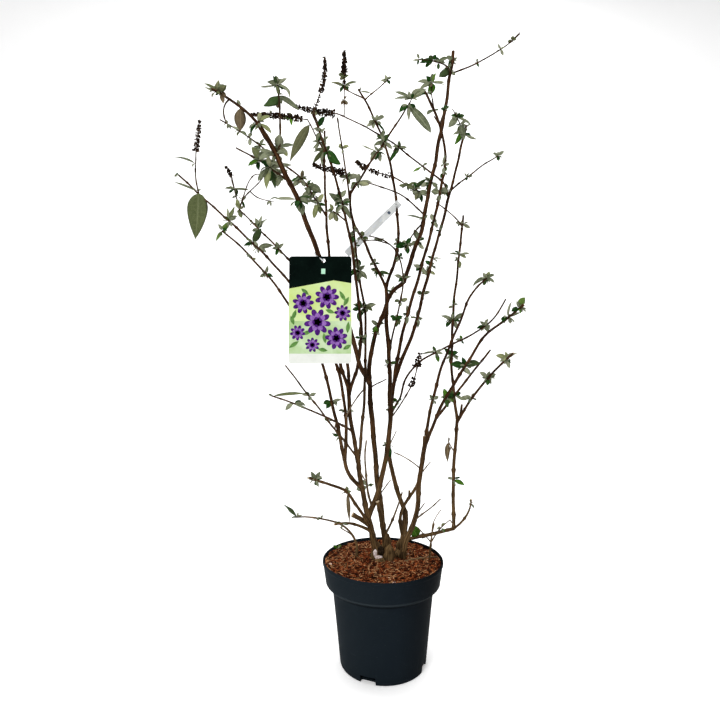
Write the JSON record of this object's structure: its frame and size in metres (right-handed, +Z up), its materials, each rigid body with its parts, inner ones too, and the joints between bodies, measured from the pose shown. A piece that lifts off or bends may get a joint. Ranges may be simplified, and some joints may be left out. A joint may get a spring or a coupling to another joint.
{
  "type": "potted shrub",
  "caption": "Leggy potted butterfly bush: slim woody canes rise from one root crown to grey-green leaf tufts and dried dark flower spikes, in a plain nursery pot, with two tags.",
  "frame": {"origin": "the middle of the pot's flat underside, on the ground", "axes": "+Z up, -Y towards the side that the picture tag faces, +X to the right as seen from there"},
  "size_m": [1.0471, 0.7641, 1.8057],
  "materials": {
    "pot_plastic": "satin",
    "bark_chips": "matte",
    "bark": "matte",
    "leaf": "matte",
    "dried_flower": "matte",
    "tag_card": "satin",
    "tie_plastic": "satin",
    "strip_plastic": "satin"
  },
  "bodies": {
    "root": {"pot": "pot_plastic", "substrate": "bark_chips", "root_crown": "bark", "left_stem": "bark", "centre_trunk": "bark", "right_trunk": "bark", "front_right_stem": "bark", "low_right_bough": "bark", "bottom_left_bough": "bark", "left_leader": "bark", "left_leader_tip": "bark", "slim_cane": "bark", "left_branch": "bark", "far_left_cane": "bark", "low_left_cane": "bark", "low_left_bough": "bark", "middle_stem": "bark", "far_low_left_bough": "bark", "middle_left_cane": "bark", "back_left_cane": "bark", "middle_cane": "bark", "long_left_bough": "bark", "centre_stem": "bark", "centre_cane": "bark", "centre_left_arm": "bark", "diagonal_bough": "bark", "right_leader_foot": "bark", "right_leader": "bark", "far_right_bough": "bark", "back_right_stem": "bark", "back_right_cane": "bark", "right_cane": "bark", "back_right_bough": "bark", "long_back_bough": "bark", "back_lateral": "bark", "inner_right_cane": "bark", "outer_right_cane": "bark", "short_right_cane": "bark", "right_side_cane": "bark", "right_side_leader": "bark", "right_side_arm": "bark", "low_right_tip": "bark", "left_tip_leaves": "leaf", "left_stalk_leaves": "leaf", "left_inner_leaves": "leaf", "upper_left_leaves": "leaf", "upper_middle_leaves": "leaf", "middle_top_leaves": "leaf", "centre_top_leaves": "leaf", "high_centre_leaves": "leaf", "high_right_leaves": "leaf", "right_top_leaves": "leaf", "right_middle_leaves": "leaf", "right_lower_leaves": "leaf", "great_leaf": "leaf", "left_flower_spike": "dried_flower", "top_flower_spike": "dried_flower", "picture_tag": "tag_card", "tag_tie": "tie_plastic", "strip_tag": "strip_plastic"}
  },
  "joints": []
}
